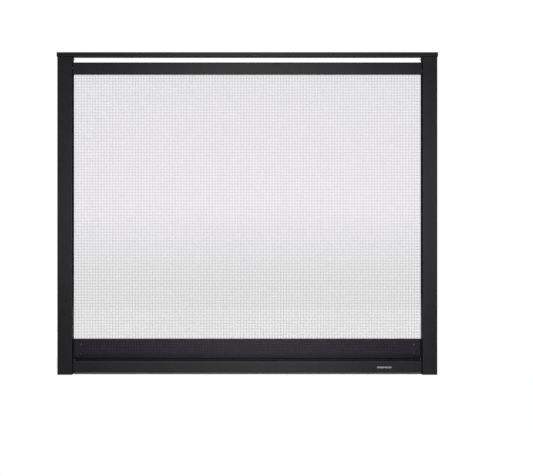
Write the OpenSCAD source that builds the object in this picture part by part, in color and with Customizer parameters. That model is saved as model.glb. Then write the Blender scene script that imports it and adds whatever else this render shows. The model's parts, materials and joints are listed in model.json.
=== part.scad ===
// Fireplace screen front: a folded sheet-steel surround that stands in front of the firebox opening,
// and a framed mesh panel that hangs in it from a rod, held shut at the bottom by two magnet catches.
// Millimetres. +Z is up, the front faces -Y, the origin is on the floor under the middle of the part.

/* [Overall] */
// Length of the top bar, end to end
overall_w = 1041; // [940:1:1200]
// Height from the floor to the top of the top bar
overall_h = 881; // [760:1:960]
// Distance from the floor line of the front to the rear lips of the columns
overall_d = 64; // [60:1:90]

/* [Sheet metal] */
// Thickness of the folded steel sheet
sheet_t = 1.2; // [1:0.1:1.5]
// Inside radius of every fold
fold_r = 1; // [0.6:0.1:1.4]
// Thickness of the corner and sill brackets
bracket_t = 2; // [1.5:0.1:2.4]

/* [Surround] */
// Height of the top bar
bar_h = 12; // [12:0.1:18]
// Depth of the top bar
bar_d = 34; // [32:0.5:36]
// Width of each column
column_w = 41.2; // [36:0.1:60]
// How far the top bar passes the column's outer side
overhang = 1.5; // [0.5:0.1:6]
// How far the column faces sit behind the front of the bar
column_step = 1.5; // [0.5:0.1:2]
// Thickness of the rubber pads under the columns
pad_h = 2.5; // [2.2:0.1:5]
// Radius of the wall fixing holes
fixing_r = 2.75; // [2:0.05:3.5]
// Height of the lower wall fixing holes
fixing_low = 150; // [130:1:300]
// Height between the lower and upper wall fixing holes
fixing_pitch = 600; // [400:1:600]

/* [Screen panel] */
// Gap between the top bar and the panel
air_gap = 14.8; // [11.5:0.1:25]
// Height of the panel's upper rail
rail_h = 33.4; // [32:0.1:45]
// Height of the panel's bottom bar
base_h = 30.6; // [28:0.1:34]
// How far the panel's face sits behind the column faces
panel_step = 8; // [7:0.1:8.5]
// Gap between the floor and the panel
floor_gap = 5; // [3:0.1:6]
// Gap between the panel's side and the column
side_gap = 1.2; // [1:0.1:1.3]
// Number of rivets along each edge of the mesh
rivet_count = 9; // [5:1:15]

/* [Sill plate] */
// Height of the sill plate's upper edge above the floor
sill_top = 95.5; // [90:0.5:140]
// Height of the sill plate's step above the floor
sill_step = 41; // [38:0.5:42]
// Distance of each magnet catch from the middle
catch_x = 380; // [200:1:400]

/* [Hanger] */
// Radius of the rod the panel hangs from
rod_r = 3; // [2.5:0.1:3.2]
// Height of the rod's axis below the top of the upper rail
rod_drop = 11.4; // [11:0.1:12.5]
// Depth position of the rod's axis
rod_y = -4.5; // [-4.8:0.1:-4.2]

/* [Nameplate] */
// Length of the blank nameplate
plate_w = 40; // [20:1:60]
// Height of the blank nameplate
plate_h = 4.6; // [4:0.1:10]

/* [Hidden] */
$fn = 48;
fold_steps = 8;

// Depth stations
front_y = -overall_d / 2;
rear_y = overall_d / 2;
bar_rear_y = front_y + bar_d;
column_y = front_y + column_step;
panel_y = column_y + panel_step;
mesh_t = 1.3;
mesh_y = panel_y + 10.3;
strip_t = 1.2;
retainer_h = 9.8;
sill_y = -6.5;
sill_rear_y = 2;

// Width stations
column_out_x = overall_w / 2 - overhang;
column_in_x = column_out_x - column_w;
stile_t = 0.8;
stile_x = column_in_x - side_gap;
panel_x = stile_x - stile_t;

// Height stations
mesh_tuck = 11;
bar_z = overall_h - bar_h;
rail_top_z = bar_z - air_gap;
rail_low_z = rail_top_z - rail_h;
rod_z = rail_top_z - rod_drop;
base_top_z = floor_gap + base_h;
mesh_low_z = base_top_z - mesh_tuck;
mesh_top_z = rail_low_z + mesh_tuck;

// Lips folded on the rail and the bar
rail_lip_y = -3;
rail_lip_h = 5;
base_lip_y = -7;
base_lip_h = 16;
mesh_lip_h = 12;
mesh_edge = 5;

// Column section
inner_return = 12;
rear_lip = 16;

// Fasteners
shank_r = 1.9;
hole_r = 1.95;
head_r = 3.2;
head_h = 2.2;
rivet_r = 1.6;
rivet_hole_r = 1.65;
rivet_head_r = 2.8;
rivet_head_h = 1.2;

// Fixing positions on the columns
fixing_x = column_out_x - 8;
bar_screw_x = column_out_x - 14;
bar_screw_y = [-8, -18];
leg_screw_x = column_in_x + 6.7;
corner_leg_h = 40;
corner_leg_z = [rod_z - 11, rod_z + 5];
sill_bracket_z = [45, sill_top - 3.5];
sill_screw_z = [55, 80];
sill_screw_x = column_in_x - 19.8;

// Magnet catch
catch_w = 44;
catch_flange_w = 68;
catch_z = [5, 17];
catch_front_y = -4.8;
magnet_w = 34;
magnet_z = [7, 15];
magnet_y = [sill_y - 0.3, -1];
catch_screw_x = 28;

// Hanger
rod_end_x = column_in_x - 0.5;
clip_t = 1;
clip_r = 5;
clip_groove_r = rod_r - 0.5;
eye_x = panel_x - 17.2;
eye_w = 8;
eye_r = 5.5;
eye_bore_r = rod_r + 0.05;
eye_tab_w = 20;
eye_tab_t = 2;
eye_screw_x = [eye_x - 2.5, eye_x + 10.5];
eye_screw_y = -14;
cradle_t = 2.4;
cradle_y = [-9, 1];
cradle_top_z = rod_z + 0.8;
cradle_low_z = rod_z - 13;
cradle_rivet_y = [-6.9, -2.5];
cradle_rivet_z = rod_z - 9;
cradle_head_r = 2;

// Folded sheet: the path is one skin of the sheet, the thickness lies to the left of it.
function unit(v) = v / norm(v);
function left(v) = [-v[1], v[0]];
function corner(path, i, s, t) =
  let (
    a = unit(path[i] - path[i - 1]),
    b = unit(path[i + 1] - path[i]),
    turn = sign(cross(a, b)),
    half = acos(a * b) / 2,
    r = turn > 0 ? fold_r + t : fold_r,
    centre = path[i] - a * (r * tan(half)) + turn * r * left(a),
    start = atan2(-turn * left(a)[1], -turn * left(a)[0])
  )
  [for (k = [0:fold_steps])
    let (ang = start + turn * 2 * half * k / fold_steps)
    centre + (r - turn * s) * [cos(ang), sin(ang)]];
function skin_points(path, i, s, t) =
  i == 0 ? [path[0] + s * left(unit(path[1] - path[0]))] :
  i == len(path) - 1 ? [path[i] + s * left(unit(path[i] - path[i - 1]))] :
  corner(path, i, s, t);
function skin(path, s, t) = [for (i = [0:len(path) - 1]) each skin_points(path, i, s, t)];
function reversed(list) = [for (i = [len(list) - 1:-1:0]) list[i]];

module folded(path, t = sheet_t) {
  polygon(concat(skin(path, 0, t), reversed(skin(path, t, t))));
}

// Runs a section drawn in (Y, Z) along X, centred on x = 0.
module along_x(length) {
  rotate([90, 0, 90])
    linear_extrude(length, center = true)
      children();
}

// Runs a section drawn in (Y, Z) along X from x0 to x1.
module from_x(x0, x1) {
  translate([x0, 0, 0])
    rotate([90, 0, 90])
      linear_extrude(x1 - x0)
        children();
}

module block(low, high) {
  translate(low)
    cube(high - low);
}

module both_sides() {
  children();
  mirror([1, 0, 0])
    children();
}

module left_side() {
  mirror([1, 0, 0])
    children();
}

module rod_along_x(r, x0, x1, y, z) {
  translate([x0, y, z])
    rotate([0, 90, 0])
      cylinder(r = r, h = x1 - x0);
}

module rod_along_y(r, y0, y1, x, z) {
  translate([x, y0, z])
    rotate([-90, 0, 0])
      cylinder(r = r, h = y1 - y0);
}

module rod_along_z(r, z0, z1, x, y) {
  translate([x, y, z0])
    cylinder(r = r, h = z1 - z0);
}

// Screw whose head lies behind y_seat and whose shank runs forward to y_tip.
module screw_from_rear(x, z, y_seat, y_tip) {
  rod_along_y(shank_r, y_tip, y_seat, x, z);
  difference() {
    rod_along_y(head_r, y_seat, y_seat + head_h, x, z);
    block([x - 0.5, y_seat + head_h - 1, z - 2.4], [x + 0.5, y_seat + head_h + 1, z + 2.4]);
    block([x - 2.4, y_seat + head_h - 1, z - 0.5], [x + 2.4, y_seat + head_h + 1, z + 0.5]);
  }
}

// Screw whose head lies below z_seat and whose shank runs up to z_tip.
module screw_from_below(x, y, z_seat, z_tip) {
  rod_along_z(shank_r, z_seat, z_tip, x, y);
  difference() {
    rod_along_z(head_r, z_seat - head_h, z_seat, x, y);
    block([x - 0.5, y - 2.4, z_seat - head_h - 1], [x + 0.5, y + 2.4, z_seat - head_h + 1]);
    block([x - 2.4, y - 0.5, z_seat - head_h - 1], [x + 2.4, y + 0.5, z_seat - head_h + 1]);
  }
}

// ---------------------------------------------------------------- surround

module top_bar() {
  lip = 5;
  color([0.05, 0.05, 0.05])
    difference() {
      along_x(overall_w)
        folded([
          [bar_rear_y, overall_h - lip], [bar_rear_y, overall_h], [front_y, overall_h],
          [front_y, bar_z], [bar_rear_y, bar_z], [bar_rear_y, bar_z + lip]
        ]);
      both_sides()
        for (y = bar_screw_y)
          rod_along_z(hole_r, bar_z - 1, bar_z + sheet_t + 1, bar_screw_x, y);
    }
}

module bar_plug() {
  plug_r = 1.6;
  low = [front_y + sheet_t + plug_r, bar_z + sheet_t + plug_r];
  high = [bar_rear_y - sheet_t - plug_r, overall_h - sheet_t - plug_r];
  color([0.06, 0.06, 0.06])
    difference() {
      from_x(overall_w / 2 - 10, overall_w / 2)
        union() {
          translate(low - [plug_r, 0])
            square(high - low + [2 * plug_r, 0]);
          translate(low - [0, plug_r])
            square(high - low + [0, 2 * plug_r]);
          for (y = [low[0], high[0]], z = [low[1], high[1]])
            translate([y, z])
              circle(r = plug_r);
        }
      block(
        [overall_w / 2 - 11, low[0], low[1]],
        [overall_w / 2 - 2, high[0], high[1]]
      );
    }
}

module column() {
  color([0.05, 0.05, 0.05])
    difference() {
      translate([0, 0, pad_h])
        linear_extrude(bar_z - pad_h)
          folded([
            [column_in_x + inner_return, bar_rear_y], [column_in_x, bar_rear_y],
            [column_in_x, column_y], [column_out_x, column_y],
            [column_out_x, rear_y], [column_out_x - rear_lip, rear_y]
          ]);
      for (z = [fixing_low, fixing_low + fixing_pitch])
        rod_along_y(fixing_r, rear_y - sheet_t - 1, rear_y + 1, fixing_x, z);
      for (z = concat(corner_leg_z, sill_screw_z))
        rod_along_y(hole_r, bar_rear_y - sheet_t - 1, bar_rear_y + 1, leg_screw_x, z);
      for (y = cradle_rivet_y)
        rod_along_x(rivet_hole_r, column_in_x - 1, column_in_x + sheet_t + 1, y, cradle_rivet_z);
    }
}

module foot_pad() {
  plug_gap = 2;
  color([0.03, 0.03, 0.03]) {
    block([column_in_x, column_y, 0], [column_out_x, rear_y, pad_h]);
    block(
      [column_in_x + sheet_t + plug_gap, column_y + sheet_t + plug_gap, pad_h],
      [column_out_x - sheet_t - plug_gap, bar_rear_y - sheet_t - plug_gap, pad_h + 9.5]
    );
  }
}

module corner_bracket() {
  gap = 0.4;
  x0 = column_in_x + 1.7;
  x1 = column_out_x - sheet_t - gap;
  color([0.45, 0.45, 0.47])
    difference() {
      union() {
        block([x0, bar_rear_y, bar_z - bracket_t], [x1, rear_y - sheet_t - gap, bar_z]);
        block([column_in_x + inner_return + 2, -22, bar_z - bracket_t], [x1, bar_rear_y, bar_z]);
        block(
          [x0, bar_rear_y, bar_z - bracket_t - corner_leg_h],
          [x0 + 11, bar_rear_y + bracket_t, bar_z - bracket_t]
        );
      }
      for (y = bar_screw_y)
        rod_along_z(hole_r, bar_z - bracket_t - 1, bar_z + 1, bar_screw_x, y);
      for (z = corner_leg_z)
        rod_along_y(hole_r, bar_rear_y - 1, bar_rear_y + bracket_t + 1, leg_screw_x, z);
    }
}

module bar_screws() {
  color([0.25, 0.25, 0.26])
    both_sides()
      for (y = bar_screw_y)
        screw_from_below(bar_screw_x, y, bar_z - bracket_t, bar_z + sheet_t + 1);
}

module corner_screws() {
  color([0.25, 0.25, 0.26])
    both_sides()
      for (z = corner_leg_z)
        screw_from_rear(leg_screw_x, z, bar_rear_y + bracket_t, bar_rear_y - sheet_t - 2.8);
}

// ---------------------------------------------------------------- sill plate and catches

module sill_plate() {
  low_z = 4;
  color([0.05, 0.05, 0.05])
    difference() {
      along_x(2 * (column_in_x - 0.4))
        folded([
          [sill_y + 12.5, sill_top], [sill_y, sill_top], [sill_y, sill_step],
          [sill_rear_y, sill_step], [sill_rear_y, low_z], [sill_rear_y - 5.5, low_z]
        ]);
      both_sides() {
        for (z = sill_screw_z)
          rod_along_y(hole_r, sill_y - 1, sill_y + sheet_t + 1, sill_screw_x, z);
        for (s = [-1, 1])
          rod_along_y(
            hole_r, sill_rear_y - 1, sill_rear_y + sheet_t + 1,
            catch_x + s * catch_screw_x, (catch_z[0] + catch_z[1]) / 2
          );
      }
    }
}

module sill_bracket() {
  knee_x = column_in_x - 1.3;
  y0 = sill_y + sheet_t;
  color([0.05, 0.05, 0.05])
    difference() {
      translate([0, 0, sill_bracket_z[0]])
        linear_extrude(sill_bracket_z[1] - sill_bracket_z[0])
          folded(
            [
              [sill_screw_x - 13, y0], [knee_x, y0], [knee_x, bar_rear_y],
              [column_in_x + inner_return - 0.3, bar_rear_y]
            ],
            bracket_t
          );
      for (z = sill_screw_z) {
        rod_along_y(hole_r, bar_rear_y - 1, bar_rear_y + bracket_t + 1, leg_screw_x, z);
        rod_along_y(hole_r, y0 - 1, y0 + bracket_t + 1, sill_screw_x, z);
      }
    }
}

module sill_screws() {
  color([0.25, 0.25, 0.26])
    both_sides()
      for (z = sill_screw_z) {
        screw_from_rear(leg_screw_x, z, bar_rear_y + bracket_t, bar_rear_y - sheet_t - 2.3);
        screw_from_rear(sill_screw_x, z, sill_y + sheet_t + bracket_t, sill_y);
      }
}

module catch_housing() {
  mid_z = (catch_z[0] + catch_z[1]) / 2;
  color([0.08, 0.08, 0.08])
    difference() {
      union() {
        block(
          [catch_x - catch_w / 2, catch_front_y, catch_z[0]],
          [catch_x + catch_w / 2, sill_rear_y, catch_z[1]]
        );
        block(
          [catch_x - catch_flange_w / 2, sill_rear_y - 2, catch_z[0]],
          [catch_x + catch_flange_w / 2, sill_rear_y, catch_z[1]]
        );
      }
      block(
        [catch_x - magnet_w / 2, catch_front_y - 1, magnet_z[0]],
        [catch_x + magnet_w / 2, magnet_y[1], magnet_z[1]]
      );
      for (s = [-1, 1])
        rod_along_y(hole_r, sill_rear_y - 3, sill_rear_y + 1, catch_x + s * catch_screw_x, mid_z);
    }
}

module catch_magnet() {
  color([0.2, 0.2, 0.21])
    block(
      [catch_x - magnet_w / 2, magnet_y[0], magnet_z[0]],
      [catch_x + magnet_w / 2, magnet_y[1], magnet_z[1]]
    );
}

module catch_screws() {
  mid_z = (catch_z[0] + catch_z[1]) / 2;
  seat_y = sill_rear_y - 2;
  color([0.25, 0.25, 0.26])
    both_sides()
      for (s = [-1, 1])
        translate([catch_x + s * catch_screw_x, seat_y, mid_z])
          mirror([0, 1, 0])
            screw_from_rear(0, 0, 0, -5);
}

// ---------------------------------------------------------------- hanger

module cradle() {
  notch_r = rod_r + 0.1;
  color([0.55, 0.55, 0.57])
    difference() {
      from_x(column_in_x - cradle_t, column_in_x)
        difference() {
          translate([cradle_y[0], cradle_low_z])
            square([cradle_y[1] - cradle_y[0], cradle_top_z - cradle_low_z]);
          translate([rod_y, rod_z])
            circle(r = notch_r);
          translate([rod_y - notch_r, rod_z])
            square([2 * notch_r, 4]);
        }
      for (y = cradle_rivet_y)
        rod_along_x(rivet_hole_r, column_in_x - cradle_t - 1, column_in_x + 1, y, cradle_rivet_z);
    }
}

module cradle_rivets() {
  seat_x = column_in_x - cradle_t;
  tail_x = column_in_x + sheet_t;
  color([0.6, 0.6, 0.62])
    both_sides()
      for (y = cradle_rivet_y) {
        rod_along_x(cradle_head_r, seat_x - rivet_head_h, seat_x, y, cradle_rivet_z);
        rod_along_x(rivet_r, seat_x, tail_x, y, cradle_rivet_z);
        rod_along_x(cradle_head_r, tail_x, tail_x + rivet_head_h, y, cradle_rivet_z);
      }
}

module hanger_rod() {
  groove_x = eye_x - 0.2 - clip_t;
  color([0.5, 0.5, 0.52])
    difference() {
      rod_along_x(rod_r, -rod_end_x, rod_end_x, rod_y, rod_z);
      both_sides()
        difference() {
          rod_along_x(rod_r + 1, groove_x, groove_x + clip_t, rod_y, rod_z);
          rod_along_x(clip_groove_r, groove_x - 1, groove_x + clip_t + 1, rod_y, rod_z);
        }
    }
}

module rod_clips() {
  groove_x = eye_x - 0.2 - clip_t;
  color([0.5, 0.5, 0.52])
    both_sides()
      difference() {
        rod_along_x(clip_r, groove_x, groove_x + clip_t, rod_y, rod_z);
        rod_along_x(clip_groove_r, groove_x - 1, groove_x + clip_t + 1, rod_y, rod_z);
      }
}

// ---------------------------------------------------------------- screen panel

module upper_rail() {
  color([0.05, 0.05, 0.05])
    difference() {
      along_x(2 * panel_x)
        folded([
          [rail_lip_y, rail_top_z - rail_lip_h], [rail_lip_y, rail_top_z], [panel_y, rail_top_z],
          [panel_y, rail_low_z], [mesh_y, rail_low_z], [mesh_y, rail_low_z + mesh_lip_h]
        ]);
      both_sides()
        for (x = eye_screw_x)
          rod_along_z(hole_r, rail_top_z - sheet_t - 1, rail_top_z + 1, x, eye_screw_y);
      mesh_rivet_holes(mesh_top_z - mesh_edge);
    }
}

module bottom_bar() {
  color([0.05, 0.05, 0.05])
    difference() {
      along_x(2 * panel_x)
        folded([
          [mesh_y, base_top_z - mesh_lip_h], [mesh_y, base_top_z], [panel_y, base_top_z],
          [panel_y, floor_gap], [base_lip_y, floor_gap], [base_lip_y, floor_gap + base_lip_h]
        ]);
      mesh_rivet_holes(mesh_low_z + mesh_edge);
    }
}

module stile() {
  edge = 0.2;
  low_z = floor_gap + edge;
  high_z = rail_top_z - edge;
  foot_y = base_lip_y - 2 * edge;
  back_y = mesh_y + mesh_t + 1;
  color([0.05, 0.05, 0.05])
    from_x(panel_x, stile_x)
      polygon([
        [panel_y + edge, low_z], [foot_y, low_z], [foot_y, floor_gap + base_lip_h],
        [back_y, floor_gap + base_lip_h], [back_y, high_z], [panel_y + edge, high_z]
      ]);
}

function mesh_rivet_x(i) = (panel_x - 15) * (2 * i / (rivet_count - 1) - 1);

module mesh_rivet_holes(z) {
  for (i = [0:rivet_count - 1])
    rod_along_y(
      rivet_hole_r, mesh_y - sheet_t - 1, mesh_y + mesh_t + strip_t + 1, mesh_rivet_x(i), z
    );
}

module mesh_rivets(z) {
  front = mesh_y - sheet_t;
  back = mesh_y + mesh_t + strip_t;
  color([0.3, 0.3, 0.31])
    for (i = [0:rivet_count - 1]) {
      rod_along_y(rivet_head_r, front - rivet_head_h, front, mesh_rivet_x(i), z);
      rod_along_y(rivet_r, front, back, mesh_rivet_x(i), z);
      rod_along_y(rivet_head_r, back, back + rivet_head_h, mesh_rivet_x(i), z);
    }
}

module screen_mesh() {
  color([0.35, 0.35, 0.36])
    difference() {
      block([-panel_x, mesh_y, mesh_low_z], [panel_x, mesh_y + mesh_t, mesh_top_z]);
      mesh_rivet_holes(mesh_low_z + mesh_edge);
      mesh_rivet_holes(mesh_top_z - mesh_edge);
    }
}

module retainer(z0, z1, rivet_z) {
  color([0.05, 0.05, 0.05])
    difference() {
      block(
        [-panel_x + 0.6, mesh_y + mesh_t, z0],
        [panel_x - 0.6, mesh_y + mesh_t + strip_t, z1]
      );
      mesh_rivet_holes(rivet_z);
    }
}

module retainer_top() {
  retainer(mesh_top_z - retainer_h, mesh_top_z, mesh_top_z - mesh_edge);
}

module retainer_bottom() {
  retainer(mesh_low_z, mesh_low_z + retainer_h, mesh_low_z + mesh_edge);
}

module eye() {
  tab_z = rail_top_z - sheet_t;
  color([0.5, 0.5, 0.52])
    difference() {
      union() {
        rod_along_x(eye_r, eye_x, eye_x + eye_w, rod_y, rod_z);
        block([eye_x, rod_y - eye_r, rod_z], [eye_x + eye_w, rod_y - 1.1, tab_z - eye_tab_t]);
        block(
          [eye_x + eye_w / 2 - eye_tab_w / 2, -20, tab_z - eye_tab_t],
          [eye_x + eye_w / 2 + eye_tab_w / 2, -5.4, tab_z]
        );
      }
      rod_along_x(eye_bore_r, eye_x - 1, eye_x + eye_w + 1, rod_y, rod_z);
      for (x = eye_screw_x)
        rod_along_z(hole_r, tab_z - eye_tab_t - 1, tab_z + 1, x, eye_screw_y);
    }
}

module eye_screws() {
  tab_z = rail_top_z - sheet_t;
  color([0.25, 0.25, 0.26])
    both_sides()
      for (x = eye_screw_x)
        screw_from_below(x, eye_screw_y, tab_z - eye_tab_t, rail_top_z);
}

module nameplate() {
  plate_x = panel_x - 101.2;
  plate_z = floor_gap + 14.5;
  plate_t = 0.8;
  corner_r = 1;
  color([0.75, 0.75, 0.77])
    translate([plate_x, panel_y, plate_z])
      rotate([90, 0, 0])
        linear_extrude(plate_t)
          union() {
            square([plate_w, plate_h - 2 * corner_r], center = true);
            square([plate_w - 2 * corner_r, plate_h], center = true);
            for (sx = [-1, 1], sz = [-1, 1])
              translate([sx * (plate_w / 2 - corner_r), sz * (plate_h / 2 - corner_r)])
                circle(r = corner_r);
          }
}

// ---------------------------------------------------------------- assembly

top_bar();
left_side() bar_plug();  // bar_plug_left
bar_plug();  // bar_plug_right
left_side() column();  // column_left
column();  // column_right
left_side() foot_pad();  // foot_pad_left
foot_pad();  // foot_pad_right
left_side() corner_bracket();  // corner_bracket_left
corner_bracket();  // corner_bracket_right
bar_screws();
corner_screws();
sill_plate();
left_side() sill_bracket();  // sill_bracket_left
sill_bracket();  // sill_bracket_right
sill_screws();
left_side() catch_housing();  // catch_housing_left
catch_housing();  // catch_housing_right
left_side() catch_magnet();  // catch_magnet_left
catch_magnet();  // catch_magnet_right
catch_screws();
left_side() cradle();  // cradle_left
cradle();  // cradle_right
cradle_rivets();
hanger_rod();
rod_clips();
upper_rail();
bottom_bar();
left_side() stile();  // stile_left
stile();  // stile_right
screen_mesh();
retainer_top();
retainer_bottom();
mesh_rivets(mesh_top_z - mesh_edge);  // rivets_top
mesh_rivets(mesh_low_z + mesh_edge);  // rivets_bottom
left_side() eye();  // eye_left
eye();  // eye_right
eye_screws();
nameplate();
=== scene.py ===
import json
import math

import bmesh
import bpy
import numpy as np
from mathutils import Matrix, Vector

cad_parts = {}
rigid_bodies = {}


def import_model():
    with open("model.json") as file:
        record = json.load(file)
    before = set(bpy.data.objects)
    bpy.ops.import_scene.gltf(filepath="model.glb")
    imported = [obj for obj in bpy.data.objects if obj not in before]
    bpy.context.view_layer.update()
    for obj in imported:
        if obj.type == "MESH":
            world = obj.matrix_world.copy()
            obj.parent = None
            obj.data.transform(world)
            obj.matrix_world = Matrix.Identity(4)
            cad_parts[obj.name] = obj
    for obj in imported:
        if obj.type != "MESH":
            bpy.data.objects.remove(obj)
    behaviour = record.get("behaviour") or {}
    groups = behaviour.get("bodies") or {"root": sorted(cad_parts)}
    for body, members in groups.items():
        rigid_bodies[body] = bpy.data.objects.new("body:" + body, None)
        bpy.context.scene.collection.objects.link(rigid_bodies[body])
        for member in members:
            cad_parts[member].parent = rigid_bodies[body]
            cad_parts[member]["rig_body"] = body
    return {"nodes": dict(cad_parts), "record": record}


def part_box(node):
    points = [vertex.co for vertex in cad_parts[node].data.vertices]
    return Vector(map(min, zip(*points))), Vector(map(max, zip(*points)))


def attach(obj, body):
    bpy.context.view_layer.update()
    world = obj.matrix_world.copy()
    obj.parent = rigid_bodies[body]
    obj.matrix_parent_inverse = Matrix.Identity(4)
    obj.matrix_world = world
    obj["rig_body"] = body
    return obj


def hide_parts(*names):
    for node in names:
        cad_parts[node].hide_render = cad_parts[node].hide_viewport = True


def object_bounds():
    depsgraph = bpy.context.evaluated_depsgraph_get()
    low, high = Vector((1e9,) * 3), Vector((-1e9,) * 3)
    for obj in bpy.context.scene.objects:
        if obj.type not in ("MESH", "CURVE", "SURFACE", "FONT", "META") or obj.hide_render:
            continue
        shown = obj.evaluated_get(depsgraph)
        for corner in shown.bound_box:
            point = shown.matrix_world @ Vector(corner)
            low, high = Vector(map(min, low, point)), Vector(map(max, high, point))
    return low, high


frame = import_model()
cad_low, cad_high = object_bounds()

MM = 0.001
NODES = frame["nodes"]


# ------------------------------------------------------------------ camera, light and floor

# Metres, but SENSOR in millimetres and OVERHEAD_SPREAD in degrees. The view is VIEW_WIDTH_SHARE times as wide
# as the part, and the shifts are shares of the view.
SENSOR = 36.0
CAMERA_DISTANCE = 3.2
VIEW_WIDTH_SHARE = 1.397
SHIFT_X, SHIFT_Y = 0.0360, -0.0460
OVERHEAD_DIRECTION = (0, 0.42, -0.9)
OVERHEAD_STRENGTH, OVERHEAD_SPREAD = 3.4, 12
FRONT_SIZE, FRONT_RADIANCE = 1.15, 33.0
FRONT_DISTANCE, FRONT_RISE, FRONT_ASIDE = 3.9, 0.03, 0.08
SIDE_PLACE = (2.7, -0.9, 0.55)
SIDE_SIZE, SIDE_RADIANCE = 1.4, 2.5
ROOM = 0.12
FLOOR_FRONT, FLOOR_BACK, FLOOR_SIDE = 0.036, 2.2, 3.0


def add_camera():
    """A level camera straight in front, shifted so that the part sits left of and above the middle."""
    width = cad_high.x - cad_low.x
    data = bpy.data.cameras.new("camera")
    data.sensor_width = SENSOR
    data.lens = SENSOR * CAMERA_DISTANCE / (width * VIEW_WIDTH_SHARE)
    data.shift_x, data.shift_y = SHIFT_X, SHIFT_Y
    data.clip_start, data.clip_end = 0.05, 100
    camera = bpy.data.objects.new("camera", data)
    camera.location = (0, cad_low.y - CAMERA_DISTANCE, (cad_low.z + cad_high.z) / 2)
    camera.rotation_euler = (math.pi / 2, 0, 0)
    bpy.context.scene.collection.objects.link(camera)
    bpy.context.scene.camera = camera


def add_area_light(name, place, target, size, radiance):
    """A round source that faces the target. radiance is the brightness of its surface."""
    data = bpy.data.lights.new(name, "AREA")
    data.shape = "DISK"
    data.size = size
    data.energy = radiance * math.pi * math.pi * size * size / 4
    light = bpy.data.objects.new(name, data)
    light.location = place
    direction = Vector(target) - Vector(place)
    light.rotation_euler = direction.to_track_quat("-Z", "Y").to_euler()
    bpy.context.scene.collection.objects.link(light)


def add_sky_light(name, direction, strength, spread):
    data = bpy.data.lights.new(name, "SUN")
    data.energy = strength
    data.angle = math.radians(spread)
    light = bpy.data.objects.new(name, data)
    light.rotation_euler = Vector(direction).to_track_quat("-Z", "Y").to_euler()
    bpy.context.scene.collection.objects.link(light)


def add_studio():
    """White room: a source from above, a round soft one behind the camera, a weaker one at the right."""
    middle = (cad_low + cad_high) / 2
    front_place = (FRONT_ASIDE, -FRONT_DISTANCE, middle.z + FRONT_RISE)
    add_sky_light("overhead", OVERHEAD_DIRECTION, OVERHEAD_STRENGTH, OVERHEAD_SPREAD)
    add_area_light("front_soft", front_place, middle, FRONT_SIZE, FRONT_RADIANCE)
    add_area_light("side_soft", SIDE_PLACE, middle, SIDE_SIZE, SIDE_RADIANCE)

    world = bpy.data.worlds.new("studio")
    bpy.context.scene.world = world
    world.use_nodes = True
    tree = world.node_tree
    room = tree.nodes["Background"]
    room.inputs["Color"].default_value = (0.98, 0.98, 1.0, 1)
    room.inputs["Strength"].default_value = ROOM
    backdrop = tree.nodes.new("ShaderNodeBackground")
    backdrop.inputs["Color"].default_value = (1, 1, 1, 1)
    backdrop.inputs["Strength"].default_value = 1.0
    path = tree.nodes.new("ShaderNodeLightPath")
    mix = tree.nodes.new("ShaderNodeMixShader")
    tree.links.new(path.outputs["Is Camera Ray"], mix.inputs[0])
    tree.links.new(room.outputs[0], mix.inputs[1])
    tree.links.new(backdrop.outputs[0], mix.inputs[2])
    tree.links.new(mix.outputs[0], tree.nodes["World Output"].inputs["Surface"])


def add_floor():
    """A pale floor that starts just in front of the part and runs back and to both sides."""
    mesh = bpy.data.meshes.new("floor")
    corners = [
        (-FLOOR_SIDE, -FLOOR_FRONT, 0),
        (FLOOR_SIDE, -FLOOR_FRONT, 0),
        (FLOOR_SIDE, FLOOR_BACK, 0),
        (-FLOOR_SIDE, FLOOR_BACK, 0),
    ]
    mesh.from_pydata(corners, [], [(0, 1, 2, 3)])
    floor = bpy.data.objects.new("floor", mesh)
    bpy.context.scene.collection.objects.link(floor)
    recipe = Recipe("studio_floor", {"Roughness": 0.9, "Specular IOR Level": 0.1})
    tone = recipe.spread(recipe.noise(1.5, 2), 0.3, 0.7, 0.93, 0.95)
    recipe.colour(recipe.grey(tone))
    mesh.materials.append(recipe.mat)


# ------------------------------------------------------------------ materials


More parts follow.
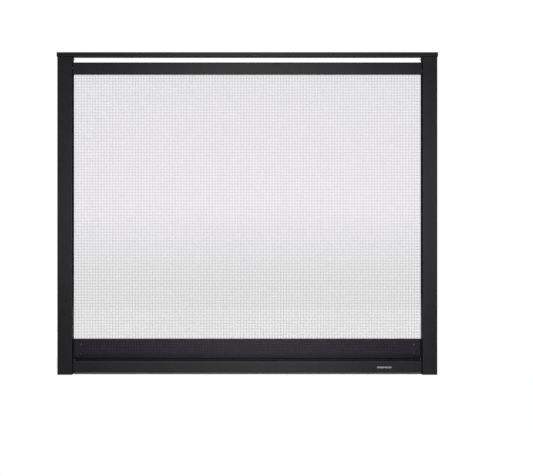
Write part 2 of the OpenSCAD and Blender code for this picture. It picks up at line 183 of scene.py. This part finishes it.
class Recipe:
    """A procedural material: one Principled shader fed by noise in the part's own coordinates."""

    def __init__(self, name, constants):
        self.mat = bpy.data.materials.new(name)
        self.mat.use_nodes = True
        self.tree = self.mat.node_tree
        self.shader = self.tree.nodes["Principled BSDF"]
        for socket, value in constants.items():
            self.shader.inputs[socket].default_value = value
        self.coords = self.tree.nodes.new("ShaderNodeTexCoord").outputs["Object"]
        self.height = None

    def link(self, value, socket):
        if isinstance(value, (int, float)):
            socket.default_value = value
        elif isinstance(value, tuple):
            socket.default_value = (*value, 1)
        else:
            self.tree.links.new(value, socket)

    def stretched(self, scale):
        node = self.tree.nodes.new("ShaderNodeMapping")
        self.link(self.coords, node.inputs["Vector"])
        node.inputs["Scale"].default_value = scale
        return node.outputs[0]

    def noise(self, scale, detail, rough=0.5, stretch=None):
        node = self.tree.nodes.new("ShaderNodeTexNoise")
        self.link(self.stretched(stretch) if stretch else self.coords, node.inputs["Vector"])
        node.inputs["Scale"].default_value = scale
        node.inputs["Detail"].default_value = detail
        node.inputs["Roughness"].default_value = rough
        return node.outputs["Fac"]

    def rise(self):
        """Height above the floor, in metres."""
        node = self.tree.nodes.new("ShaderNodeSeparateXYZ")
        self.link(self.coords, node.inputs[0])
        return node.outputs["Z"]

    def cells(self, scale):
        node = self.tree.nodes.new("ShaderNodeTexVoronoi")
        self.link(self.coords, node.inputs["Vector"])
        node.inputs["Scale"].default_value = scale
        return node.outputs["Distance"]

    def spread(self, value, low, high, to_low, to_high):
        node = self.tree.nodes.new("ShaderNodeMapRange")
        self.link(value, node.inputs["Value"])
        for socket, number in (
            ("From Min", low),
            ("From Max", high),
            ("To Min", to_low),
            ("To Max", to_high),
        ):
            node.inputs[socket].default_value = number
        return node.outputs[0]

    def times(self, a, b):
        node = self.tree.nodes.new("ShaderNodeMath")
        node.operation = "MULTIPLY"
        self.link(a, node.inputs[0])
        self.link(b, node.inputs[1])
        return node.outputs[0]

    def mix(self, factor, a, b):
        node = self.tree.nodes.new("ShaderNodeMix")
        node.data_type = "RGBA"
        self.link(factor, node.inputs["Factor"])
        self.link(a, node.inputs[6])
        self.link(b, node.inputs[7])
        return node.outputs[2]

    def grey(self, value):
        node = self.tree.nodes.new("ShaderNodeCombineColor")
        for channel in ("Red", "Green", "Blue"):
            self.link(value, node.inputs[channel])
        return node.outputs[0]

    def edges(self, radius):
        """0 on flat faces, rising to 1 on sharp outer edges, within that radius."""
        bevel = self.tree.nodes.new("ShaderNodeBevel")
        bevel.samples = 4
        bevel.inputs["Radius"].default_value = radius
        geometry = self.tree.nodes.new("ShaderNodeNewGeometry")
        dot = self.tree.nodes.new("ShaderNodeVectorMath")
        dot.operation = "DOT_PRODUCT"
        self.link(bevel.outputs[0], dot.inputs[0])
        self.link(geometry.outputs["Normal"], dot.inputs[1])
        return self.spread(dot.outputs["Value"], 0.99, 0.8, 0.0, 1.0)

    def colour(self, value):
        self.link(value, self.shader.inputs["Base Color"])

    def roughness(self, value):
        self.link(value, self.shader.inputs["Roughness"])

    def bump(self, value, distance):
        """Adds one layer of relief. distance is the height of the relief, in metres."""
        node = self.tree.nodes.new("ShaderNodeBump")
        node.inputs["Distance"].default_value = distance
        node.inputs["Strength"].default_value = 1.0
        self.link(value, node.inputs["Height"])
        if self.height is not None:
            self.link(self.height, node.inputs["Normal"])
        self.height = node.outputs[0]
        self.link(self.height, self.shader.inputs["Normal"])


def powder_coat():
    """Satin black powder coat: fine orange peel, faint cloudiness, and a lighter colour on the edges that is
    partly a thin coat there and partly a painted edge highlight.
    """
    recipe = Recipe("black_powder_coat", {"Specular IOR Level": 0.115})
    cloud = recipe.spread(recipe.noise(7, 3, 0.6), 0.35, 0.65, 0, 1)
    speckle = recipe.spread(recipe.noise(1400, 1), 0.62, 0.8, 0, 1)
    # Lighter edges: partly the thinner coat on the edges, partly a painted highlight along them.
    edge_wear_and_highlight = recipe.times(recipe.edges(0.0008), 0.8)
    deep = recipe.mix(cloud, (0.0036, 0.0033, 0.0046), (0.0056, 0.0052, 0.0068))
    dusted = recipe.mix(speckle, deep, (0.014, 0.0138, 0.0158))
    recipe.colour(recipe.mix(edge_wear_and_highlight, dusted, (0.050, 0.049, 0.055)))
    recipe.roughness(recipe.spread(recipe.noise(38, 4, 0.6), 0.3, 0.7, 0.30, 0.37))
    recipe.bump(recipe.noise(240, 2), 0.000014)
    recipe.bump(recipe.noise(900, 2), 0.000012)
    return recipe.mat


# Heights in metres. The painted shade on the wires deepens from the first height down to the second, and the
# painted shade of the sill's recess turns them black from the third height down to the fourth.
PAINTED_SHADE_TOP, PAINTED_SHADE_LOW = 0.46, 0.27
RECESS_SHADE_TOP, RECESS_SHADE_LOW = 0.057, 0.051


def wire_finish():
    """Oxidised wire with a faint violet cast. Its colour holds painted light: a painted sheen at mid height,
    painted shade above and below it, and black painted shade at the bottom where the sill's recess lies
    behind.
    """
    recipe = Recipe("woven_wire", {"Metallic": 0.85, "Specular IOR Level": 0.5})
    shade = recipe.spread(recipe.noise(90, 3, 0.6), 0.3, 0.7, 0, 1)
    # Painted sheen: the first colour is the wire as lit at mid height, the next the same wire in painted
    # shade.
    lit_wire_tint = recipe.mix(shade, (0.27, 0.215, 0.32), (0.37, 0.295, 0.44))
    shaded_wire_tint = recipe.mix(shade, (0.026, 0.020, 0.038), (0.048, 0.036, 0.066))
    # Painted shade: the wires darken from mid height downwards, and go half way to the shaded colour above
    # mid height.
    lower_shade_mask = recipe.spread(recipe.rise(), PAINTED_SHADE_TOP, PAINTED_SHADE_LOW, 0, 1)
    upper = recipe.spread(recipe.rise(), PAINTED_SHADE_TOP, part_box("screen_mesh")[1].z, 0, 0.5)
    # Painted shade of the sill's recess: the lowest wires turn near black.
    recess_shade_mask = recipe.spread(recipe.rise(), RECESS_SHADE_TOP, RECESS_SHADE_LOW, 0, 1)
    wires = recipe.mix(upper, recipe.mix(lower_shade_mask, lit_wire_tint, shaded_wire_tint), shaded_wire_tint)
    recipe.colour(recipe.mix(recess_shade_mask, wires, (0.004, 0.003, 0.005)))
    recipe.roughness(recipe.spread(recipe.noise(700, 2), 0.3, 0.7, 0.38, 0.55))
    recipe.bump(recipe.noise(2500, 2), 0.000006)
    return recipe.mat


def zinc_plate():
    """Bright zinc plate: a crystalline spangle, faint yellowing and fine scratches."""
    recipe = Recipe("zinc_steel", {"Metallic": 1.0})
    spangle = recipe.spread(recipe.cells(260), 0.1, 0.7, 0, 1)
    haze = recipe.spread(recipe.noise(30, 4, 0.6), 0.5, 0.75, 0, 0.5)
    bright = recipe.mix(spangle, (0.52, 0.54, 0.57), (0.42, 0.44, 0.47))
    recipe.colour(recipe.mix(haze, bright, (0.46, 0.44, 0.38)))
    recipe.roughness(recipe.spread(recipe.noise(420, 3, 0.6, (1, 0.15, 1)), 0.3, 0.7, 0.26, 0.44))
    recipe.bump(recipe.noise(1500, 3, 0.6, (1, 0.12, 1)), 0.000008)
    return recipe.mat


def rivet_steel():
    """Plain rivet steel, dull grey with a finely uneven sheen."""
    recipe = Recipe("rivet_steel", {"Metallic": 1.0})
    recipe.colour(recipe.mix(recipe.noise(300, 3), (0.46, 0.47, 0.50), (0.34, 0.34, 0.36)))
    recipe.roughness(recipe.spread(recipe.noise(900, 2), 0.3, 0.7, 0.28, 0.46))
    recipe.bump(recipe.noise(1800, 2), 0.000008)
    return recipe.mat


def black_fastener():
    """Black phosphate: dry and slightly grainy, rubbed brighter on the edges of the drive."""
    recipe = Recipe("black_fastener", {"Metallic": 0.6, "Specular IOR Level": 0.4})
    grain = recipe.mix(recipe.noise(800, 3), (0.028, 0.028, 0.031), (0.055, 0.055, 0.060))
    rubbed = recipe.times(recipe.edges(0.0003), 0.6)
    recipe.colour(recipe.mix(rubbed, grain, (0.22, 0.22, 0.23)))
    recipe.roughness(recipe.spread(recipe.noise(1100, 2), 0.3, 0.7, 0.42, 0.6))
    recipe.bump(recipe.noise(2600, 2), 0.000008)
    return recipe.mat


def black_plastic():
    """Moulded nylon with a fine spark texture."""
    recipe = Recipe("black_plastic", {"Specular IOR Level": 0.45})
    recipe.colour(recipe.mix(recipe.noise(45, 3), (0.016, 0.016, 0.017), (0.026, 0.026, 0.028)))
    recipe.roughness(recipe.spread(recipe.noise(600, 2), 0.3, 0.7, 0.48, 0.62))
    recipe.bump(recipe.cells(1600), 0.00002)
    return recipe.mat


def black_rubber():
    """Matt rubber with a little pale dust on it."""
    recipe = Recipe("black_rubber", {"Specular IOR Level": 0.3})
    dust = recipe.spread(recipe.noise(160, 4, 0.7), 0.55, 0.8, 0, 0.6)
    recipe.colour(recipe.mix(dust, (0.012, 0.012, 0.012), (0.045, 0.044, 0.042)))
    recipe.roughness(recipe.spread(recipe.noise(500, 3), 0.3, 0.7, 0.68, 0.85))
    recipe.bump(recipe.noise(1300, 3), 0.00003)
    return recipe.mat


def ferrite():
    """Sintered ceramic magnet: charcoal grey with small pits."""
    recipe = Recipe("ferrite", {"Specular IOR Level": 0.35})
    pits = recipe.spread(recipe.cells(900), 0.0, 0.25, 0, 1)
    recipe.colour(recipe.mix(pits, (0.025, 0.025, 0.027), (0.075, 0.074, 0.078)))
    recipe.roughness(recipe.spread(recipe.noise(700, 3), 0.3, 0.7, 0.55, 0.75))
    recipe.bump(pits, 0.00003)
    return recipe.mat


def brushed_aluminium():
    """Dark brushed aluminium, its streaks running along the plate."""
    recipe = Recipe("brushed_aluminium", {"Metallic": 1.0})
    streak = recipe.noise(900, 3, 0.7, (0.02, 1, 1))
    recipe.colour(recipe.mix(streak, (0.08, 0.081, 0.085), (0.15, 0.15, 0.155)))
    recipe.roughness(recipe.spread(streak, 0.3, 0.7, 0.30, 0.44))
    recipe.bump(streak, 0.00001)
    return recipe.mat


# ------------------------------------------------------------------ mesh tools

SMALLEST_CORNER = 0.05
END_BAND = 0.3 * MM


def new_piece(name, mesh, slot, node, smooth=False):
    """Puts a finished mesh into the scene in place of a CAD node, riding on that node's body."""
    for polygon in mesh.polygons:
        polygon.use_smooth = smooth
    mesh.materials.append(MATERIALS[slot])
    piece = bpy.data.objects.new(name, mesh)
    bpy.context.scene.collection.objects.link(piece)
    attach(piece, NODES[node]["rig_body"])
    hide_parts(node)


class Parts:
    """Collects small closed shapes, each drawn in millimetres about its own +Z, into one mesh."""

    def __init__(self):
        self.points, self.faces = [], []

    def add(self, shape, origin=(0, 0, 0), direction=(0, 0, 1), spin=0.0):
        points, faces = shape
        turn = Vector(direction).to_track_quat("Z", "Y").to_matrix() @ Matrix.Rotation(spin, 3, "Z")
        moved = MM * np.asarray(points) @ np.array(turn).T + np.asarray(origin)
        first = len(self.points)
        self.points.extend(moved.tolist())
        self.faces.extend([tuple(first + i for i in face) for face in faces])

    def mesh(self, name):
        mesh = bpy.data.meshes.new(name)
        mesh.from_pydata(self.points, [], self.faces)
        mesh.update(calc_edges=True)
        return mesh


def skin(rings):
    """A closed skin over a stack of equal rings, with a flat face on each end."""
    rings = np.asarray(rings)
    count, sides = rings.shape[:2]
    faces = [tuple(range(sides - 1, -1, -1)), tuple(range((count - 1) * sides, count * sides))]
    for i in range(count - 1):
        for j in range(sides):
            k = (j + 1) % sides
            low, high = i * sides, (i + 1) * sides
            faces.append((low + j, low + k, high + k, high + j))
    return rings.reshape(-1, 3), faces


def circle_ring(radius, height, sides):
    """A ring of points about +Z, at a height."""
    turn = np.arange(sides) * 2 * math.pi / sides
    return np.column_stack([radius * np.cos(turn), radius * np.sin(turn), np.full(sides, height)])


def lathe(profile, sides):
    """Turns a list of (radius, height) about +Z."""
    return skin([circle_ring(radius, height, sides) for radius, height in profile])


def rect_ring(low, high, corner, height):
    """A rectangle with rounded corners, at a height."""
    steps = 4
    points = []
    for quarter, (sx, sy) in enumerate(((1, 1), (0, 1), (0, 0), (1, 0))):
        cx = high[0] - corner if sx else low[0] + corner
        cy = high[1] - corner if sy else low[1] + corner
        for step in range(steps + 1):
            turn = (quarter + step / steps) * math.pi / 2
            points.append((cx + corner * math.cos(turn), cy + corner * math.sin(turn), height))
    return np.array(points)


def inset_rings(low, high, corner, levels):
    """Rounded rectangles drawn in from low and high. levels: (inset, height) from the bottom up."""
    rings = []
    for inset, height in levels:
        inner_low = (low[0] + inset, low[1] + inset)
        inner_high = (high[0] - inset, high[1] - inset)
        rings.append(rect_ring(inner_low, inner_high, max(SMALLEST_CORNER, corner - inset), height))
    return rings


def rounded_stack(low, high, corner, levels):
    """A closed stack of rounded rectangles."""
    return skin(inset_rings(low, high, corner, levels))


def soft_block(low, high, edge):
    """A block with every edge rounded by two small chamfers."""
    levels = [(edge, low[2]), (edge * 0.3, low[2] + edge * 0.3), (0, low[2] + edge)]
    levels += [(0, high[2] - edge), (edge * 0.3, high[2] - edge * 0.3), (edge, high[2])]
    return rounded_stack(low, high, 1.5 * edge, levels)


def solids_of(node, axis):
    """The separate solids of a CAD node as (low, high, side). side is the wider end on the axis, +1 or -1."""
    work = bmesh.new()
    work.from_mesh(NODES[node].data)
    work.transform(NODES[node].matrix_world)
    bmesh.ops.remove_doubles(work, verts=work.verts, dist=1e-6)
    waiting = set(work.verts)
    found = []
    while waiting:
        queue = [waiting.pop()]
        points = []
        while queue:
            vert = queue.pop()
            points.append(tuple(vert.co))
            for edge in vert.link_edges:
                other = edge.other_vert(vert)
                if other in waiting:
                    waiting.remove(other)
                    queue.append(other)
        points = np.array(points)
        low, high = points.min(0), points.max(0)
        wide_low = np.ptp(points[points[:, axis] < low[axis] + END_BAND], axis=0).max()
        wide_high = np.ptp(points[points[:, axis] > high[axis] - END_BAND], axis=0).max()
        found.append((tuple(low.round(6)), tuple(high.round(6)), 1 if wide_high >= wide_low else -1))
    work.free()
    return sorted(found)


def end_point(low, high, axis, side):
    """The middle of the end face of a solid on one side of an axis."""
    place = [(a + b) / 2 for a, b in zip(low, high)]
    place[axis] = high[axis] if side > 0 else low[axis]
    return place


def direction_of(axis, side):
    """The unit vector along an axis, towards one side."""
    return tuple(side if i == axis else 0 for i in range(3))


# ------------------------------------------------------------------ screws and rivets

# Lengths in millimetres.
HEAD_R, HEAD_H = 3.2, 2.2
HEAD_RIM, HEAD_DOME, HEAD_SWEEP = 0.5, 1.7, math.radians(78)
NECK_R = 1.75
THREAD_R, THREAD_CORE, THREAD_PITCH = 1.88, 1.58, 0.7
TIP_SHARE, TIP_LENGTH = 0.72, 0.8
CROSS_ARM, CROSS_WIDTH, CROSS_DEPTH = 1.75, 0.42, 1.25


def threaded_screw(shank):
    """Pan-head screw: helical thread, tapered tip and domed head, with its head's top at z = 0."""
    sides = 24
    turn = np.arange(sides) * 2 * math.pi / sides
    seat = -HEAD_H
    heights = np.arange(seat - shank, seat - 0.25, THREAD_PITCH / 6)
    rings = []
    for z in heights:
        crest = 0.5 + 0.5 * np.cos(turn - 2 * math.pi * z / THREAD_PITCH)
        taper = min(1.0, TIP_SHARE + (1 - TIP_SHARE) * (z - heights[0]) / TIP_LENGTH)
        radius = (THREAD_CORE + (THREAD_R - THREAD_CORE) * crest) * taper
        rings.append(np.column_stack([radius * np.cos(turn), radius * np.sin(turn), np.full(sides, z)]))
    neck = [(NECK_R, seat - 0.1), (NECK_R + 0.1, seat), (HEAD_R - 0.12, seat), (HEAD_R, seat + 0.12)]
    for radius, z in neck:
        rings.append(circle_ring(radius, z, sides))
    for step in range(1, 7):
        lift = step / 6 * HEAD_SWEEP
        z = seat + HEAD_RIM + HEAD_DOME * math.sin(lift) / math.sin(HEAD_SWEEP)
        rings.append(circle_ring(HEAD_R * math.cos(lift), z, sides))
    return skin(rings)


def cross_cutter():
    """A tapered cross that sinks into a screw head."""
    rings = []
    for z, arm, half in ((-CROSS_DEPTH, 0.8, 0.26), (0.6, CROSS_ARM * 1.2, CROSS_WIDTH * 1.15)):
        corners = []
        for c, s in ((1, 0), (0, 1), (-1, 0), (0, -1)):
            for x, y in ((arm, -half), (arm, half), (half, half)):
                corners.append((c * x - s * y, s * x + c * y, z))
        rings.append(corners)
    return skin(rings)


def carved(shape, cutter):
    """The shape with the cutter taken out of it."""
    pair = []
    for name, (points, faces) in (("carve_body", shape), ("carve_tool", cutter)):
        mesh = bpy.data.meshes.new(name)
        mesh.from_pydata(np.asarray(points).tolist(), [], faces)
        item = bpy.data.objects.new(name, mesh)
        bpy.context.scene.collection.objects.link(item)
        pair.append(item)
    cut = pair[0].modifiers.new("cut", "BOOLEAN")
    cut.operation = "DIFFERENCE"
    cut.solver = "EXACT"
    cut.object = pair[1]
    evaluated = pair[0].evaluated_get(bpy.context.evaluated_depsgraph_get())
    result = bpy.data.meshes.new_from_object(evaluated)
    points = [tuple(v.co) for v in result.vertices]
    faces = [tuple(p.vertices) for p in result.polygons]
    for item in pair:
        mesh = item.data
        bpy.data.objects.remove(item)
        bpy.data.meshes.remove(mesh)
    bpy.data.meshes.remove(result)
    return points, faces


RIVET_SHANK_R = 1.6
RIVET_END = 1.2


def rivet(head_r, length):
    """Blind rivet along +Z: a domed head with its dimple on top, a swollen tail and broken stem below."""
    tail, head = RIVET_END, length - RIVET_END
    profile = [(0.55, 0), (0.75, 0.12), (0.75, 0.32), (0.62 * head_r, 0.36), (0.92 * head_r, 0.6)]
    profile += [(0.97 * head_r, 0.85), (0.9 * head_r, tail)]
    profile += [(RIVET_SHANK_R, tail), (RIVET_SHANK_R, head)]
    profile += [(head_r * 0.97, head), (head_r, head + 0.1), (head_r, head + 0.28)]
    for step in range(1, 5):
        lift = step / 5 * math.pi / 2
        profile.append((0.85 + (head_r - 0.85) * math.cos(lift), head + 0.28 + 0.9 * math.sin(lift)))
    profile += [(0.8, length), (0.72, length - 0.3), (0.3, length - 0.42)]
    return lathe(profile, 28)


def add_screws():
    """Threaded pan-head screws in place of the plain CAD ones, each turned by chance."""
    rng = np.random.default_rng(7)
    cutter = cross_cutter()
    made = {}
    for node, axis in (
        ("bar_screws", 2),
        ("corner_screws", 1),
        ("sill_screws", 1),
        ("catch_screws", 1),
        ("eye_screws", 2),
    ):
        parts = Parts()
        for low, high, side in solids_of(node, axis):
            shank = round((high[axis] - low[axis]) / MM - HEAD_H, 2)
            if shank not in made:
                made[shank] = carved(threaded_screw(shank), cutter)
            place = end_point(low, high, axis, side)
            parts.add(made[shank], place, direction_of(axis, side), rng.uniform(0, math.pi))
        new_piece(node + "_detailed", parts.mesh(node), "black_fastener", node)


def add_rivets():
    """Blind rivets in place of the plain CAD ones, with their heads to the front or towards the middle."""
    for node, axis, slot in (
        ("rivets_top", 1, "black_fastener"),
        ("rivets_bottom", 1, "black_fastener"),
        ("cradle_rivets", 0, "rivet_steel"),
    ):
        parts = Parts()
        for low, high, _ in solids_of(node, axis):
            side = -1 if axis == 1 or low[0] > 0 else 1
            shape = rivet((high[2] - low[2]) / 2 / MM, (high[axis] - low[axis]) / MM)
            parts.add(shape, end_point(low, high, axis, -side), direction_of(axis, side))
        new_piece(node + "_domed", parts.mesh(node), slot, node)


# ------------------------------------------------------------------ rod, clips, pads, magnets and nameplate

# Millimetres.
GROOVE_R = 2.5
ROD_CHAMFER = 0.7
CLIP_BAND = 1.35
PAD_T = 2.5
PLUG_INSET = 3.2
POLE_T = 1.2


def add_rod():
    """The hanger rod, turned with chamfered ends and a groove for each clip."""
    low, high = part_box("hanger_rod")
    radius = (high.z - low.z) / 2 / MM
    length = (high.x - low.x) / MM
    profile = [(radius - ROD_CHAMFER, 0), (radius, ROD_CHAMFER)]
    for clip_low, clip_high, _ in solids_of("rod_clips", 0):
        start, stop = (clip_low[0] - low.x) / MM, (clip_high[0] - low.x) / MM
        profile += [(radius, start), (GROOVE_R, start + 0.02), (GROOVE_R, stop - 0.02), (radius, stop)]
    profile += [(radius, length - ROD_CHAMFER), (radius - ROD_CHAMFER, length)]
    parts = Parts()
    centre = (low + high) / 2
    parts.add(lathe(profile, 48), (low.x, centre.y, centre.z), (1, 0, 0))
    new_piece("hanger_rod_turned", parts.mesh("rod"), "zinc_steel", "hanger_rod")


def add_rod_clips():
    """E-clips: open rings with three prongs that reach into the rod's grooves."""
    clips = solids_of("rod_clips", 0)
    clip_low, clip_high, _ = clips[0]
    outer = (clip_high[2] - clip_low[2]) / 2 / MM
    outline = [(outer, a) for a in range(38, 323, 6)]
    for a in range(322, 37, -4):
        prong = min(abs(a - 180), abs(a - 318), abs(a - 42)) <= 14
        outline.append((GROOVE_R + 0.02 if prong else outer - CLIP_BAND, a))
    rings = []
    for shrink, x in ((0.08, 0.1), (0, 0.2), (0, 0.8), (0.08, 0.9)):
        ring = []
        for r, a in outline:
            reach = r - shrink if r > outer - 0.5 else r + shrink
            turn = math.radians(a)
            ring.append((reach * math.sin(turn), -reach * math.cos(turn), x))
        rings.append(ring)
    parts = Parts()
    for clip_low, clip_high, _ in clips:
        parts.add(skin(rings), end_point(clip_low, clip_high, 0, -1), (1, 0, 0), 0.35)
    new_piece("rod_clips_cut", parts.mesh("clips"), "zinc_steel", "rod_clips")


def add_foot_pads():
    """Moulded rubber pads: a grooved foot and a ribbed plug that grips inside the column."""
    bar_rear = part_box("top_bar")[1].y / MM
    foot = [(0.6, 0), (0.15, 0.3), (0, 0.55), (0, 0.95), (0.35, 1.1)]
    foot += [(0.35, 1.3), (0, 1.45), (0, 2.2), (0.2, PAD_T)]
    for side in ("left", "right"):
        node = f"foot_pad_{side}"
        low, high = (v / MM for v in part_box(node))
        plug = [(0.6, PAD_T)]
        for step in range(4):
            base = PAD_T + 0.4 + step * 2.2
            plug += [(0.6, base), (0, base + 0.5), (0, base + 1.0), (0.6, base + 1.5)]
        plug.append((1.6, high.z))
        plug_low = (low.x + PLUG_INSET, low.y + PLUG_INSET)
        plug_high = (high.x - PLUG_INSET, bar_rear - PLUG_INSET)
        rings = inset_rings(low, high, 1.5, foot)
        rings += inset_rings(plug_low, plug_high, 2.5, plug)
        parts = Parts()
        parts.add(skin(rings))
        new_piece(node + "_moulded", parts.mesh(node), "black_rubber", node)


def add_magnets():
    """Each catch magnet as a ferrite block between two steel pole plates that stand a little proud of it."""
    for side in ("left", "right"):
        node = f"catch_magnet_{side}"
        low, high = (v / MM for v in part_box(node))
        core = Parts()
        core.add(soft_block((low.x, low.y + 0.3, low.z + POLE_T), (high.x, high.y, high.z - POLE_T), 0.25))
        new_piece(node + "_core", core.mesh(node), "ferrite", node)
        poles = Parts()
        poles.add(soft_block((low.x, low.y, low.z), (high.x, high.y, low.z + POLE_T), 0.15))
        poles.add(soft_block((low.x, low.y, high.z - POLE_T), (high.x, high.y, high.z), 0.15))
        new_piece(node + "_poles", poles.mesh(node), "zinc_steel", node)


def add_nameplate():
    """A blank plate with rounded corners, a softened rim and a face set slightly below it."""
    low, high = (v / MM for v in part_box("nameplate"))
    half = ((high.x - low.x) / 2, (high.z - low.z) / 2)
    thick = high.y - low.y
    levels = [(0, 0), (0, thick - 0.2), (0.08, thick - 0.06), (0.25, thick)]
    levels += [(0.5, thick), (0.62, thick - 0.1)]
    parts = Parts()
    origin = MM * Vector(((low.x + high.x) / 2, high.y, (low.z + high.z) / 2))
    parts.add(rounded_stack((-half[0], -half[1]), half, 1.0, levels), origin, (0, -1, 0))
    new_piece("nameplate_blank", parts.mesh("nameplate"), "brushed_aluminium", "nameplate")


# ------------------------------------------------------------------ woven wire

WIRE_R = 0.325 * MM
PITCH = 4.233 * MM
TUBE_SIDES = 4
WIRE_JITTER = 0.05 * MM


def wire_centres(low, high, seed):
    """Evenly pitched wire positions between two edges, each a little out of true."""
    count = int((high - low) / PITCH)
    margin = ((high - low) - (count - 1) * PITCH) / 2
    rng = np.random.default_rng(seed)
    wander = np.cumsum(rng.normal(0, 0.3, count))
    wander = (wander - wander.mean()) / max(1e-9, np.abs(wander).max())
    return low + margin + PITCH * np.arange(count) + WIRE_JITTER * (wander + rng.uniform(-1, 1, count))


def wire_tubes(across, along, ends, parity, depth):
    """Zig-zag tubes: across is where the wires are, along is where they meet the other set."""
    stations = np.concatenate([[ends[0]], along, [ends[1]]])
    swing = np.where((np.arange(len(along))[None, :] + np.arange(len(across))[:, None]) % 2, -1.0, 1.0)
    offset = np.zeros((len(across), len(stations)))
    offset[:, 1:-1] = WIRE_R * swing * parity
    turn = np.arange(TUBE_SIDES) * 2 * math.pi / TUBE_SIDES
    points = np.zeros((len(across), len(stations), TUBE_SIDES, 3))
    points[..., 0] = across[:, None, None] + WIRE_R * np.cos(turn)
    points[..., 1] = depth + offset[:, :, None] + WIRE_R * np.sin(turn)
    points[..., 2] = stations[None, :, None]
    index = np.arange(points[..., 0].size).reshape(points.shape[:3])
    a, b = index[:, :-1, :], index[:, 1:, :]
    quads = np.stack([a, np.roll(a, -1, 2), np.roll(b, -1, 2), b], -1).reshape(-1, 4)
    caps = np.concatenate([index[:, 0, ::-1], index[:, -1, :]])
    return points.reshape(-1, 3), np.concatenate([quads, caps])


def mesh_from_arrays(name, points, faces):
    """A mesh from an array of points and an array of four-sided faces."""
    mesh = bpy.data.meshes.new(name)
    mesh.vertices.add(len(points))
    mesh.vertices.foreach_set("co", points.astype(np.float32).ravel())
    mesh.loops.add(faces.size)
    mesh.loops.foreach_set("vertex_index", faces.astype(np.int32).ravel())
    mesh.polygons.add(len(faces))
    mesh.polygons.foreach_set("loop_start", np.arange(0, faces.size, 4, dtype=np.int32))
    mesh.update(calc_edges=True)
    mesh.validate()
    return mesh


def halves(count):
    """Two index ranges that share out the wires, split at an even number so that the weave runs on."""
    middle = 2 * (round(count / 2) // 2)
    return (0, middle), (middle, count)


def add_weave():
    """Plain-woven wire: upright wires and level wires that pass over and under each other."""
    low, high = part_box("screen_mesh")
    depth = (low.y + high.y) / 2
    uprights = wire_centres(low.x, high.x, 11)
    levels = wire_centres(low.z, high.z, 12)
    for side, (first, last) in zip(("left", "right"), halves(len(uprights))):
        points, faces = wire_tubes(uprights[first:last], levels, (low.z, high.z), 1, depth)
        mesh = mesh_from_arrays(f"upright_wires_{side}", points, faces)
        new_piece(f"upright_wires_{side}", mesh, "woven_wire", "screen_mesh", smooth=True)
    for side, (first, last) in zip(("lower", "upper"), halves(len(levels))):
        points, faces = wire_tubes(levels[first:last], uprights, (low.x, high.x), -1, depth)
        points = points[:, [2, 1, 0]]
        mesh = mesh_from_arrays(f"level_wires_{side}", points, faces[:, ::-1])
        new_piece(f"level_wires_{side}", mesh, "woven_wire", "screen_mesh", smooth=True)


# ------------------------------------------------------------------ carried-over CAD nodes

# Millimetres, by material. DEFAULT_EDGE is for the others.
DEFAULT_EDGE = 0.2
SOFT_EDGE = {"black_powder_coat": 0.22, "black_plastic": 0.4, "zinc_steel": 0.25}


def finish_cad_nodes():
    """Gives every CAD node its slot's material and slightly rounded edges."""
    slots = {s["node"]: s["material_slot"] for s in frame["record"]["subparts"]}
    for name, piece in NODES.items():
        piece.data.materials.clear()
        piece.data.materials.append(MATERIALS[slots[name]])
        weld = piece.modifiers.new("weld", "WELD")
        weld.merge_threshold = 0.001 * MM
        soft = piece.modifiers.new("soft_edges", "BEVEL")
        soft.width = SOFT_EDGE.get(slots[name], DEFAULT_EDGE) * MM
        soft.segments = 2
        soft.limit_method = "ANGLE"
        soft.angle_limit = math.radians(40)


# ------------------------------------------------------------------ the scene

MATERIALS = {
    "black_powder_coat": powder_coat(),
    "woven_wire": wire_finish(),
    "zinc_steel": zinc_plate(),
    "rivet_steel": rivet_steel(),
    "black_fastener": black_fastener(),
    "black_plastic": black_plastic(),
    "black_rubber": black_rubber(),
    "ferrite": ferrite(),
    "brushed_aluminium": brushed_aluminium(),
}

bpy.context.scene.view_settings.view_transform = "Standard"
add_camera()
add_studio()
add_floor()
finish_cad_nodes()
add_weave()
add_screws()
add_rivets()
add_rod()
add_rod_clips()
add_foot_pads()
add_magnets()
add_nameplate()
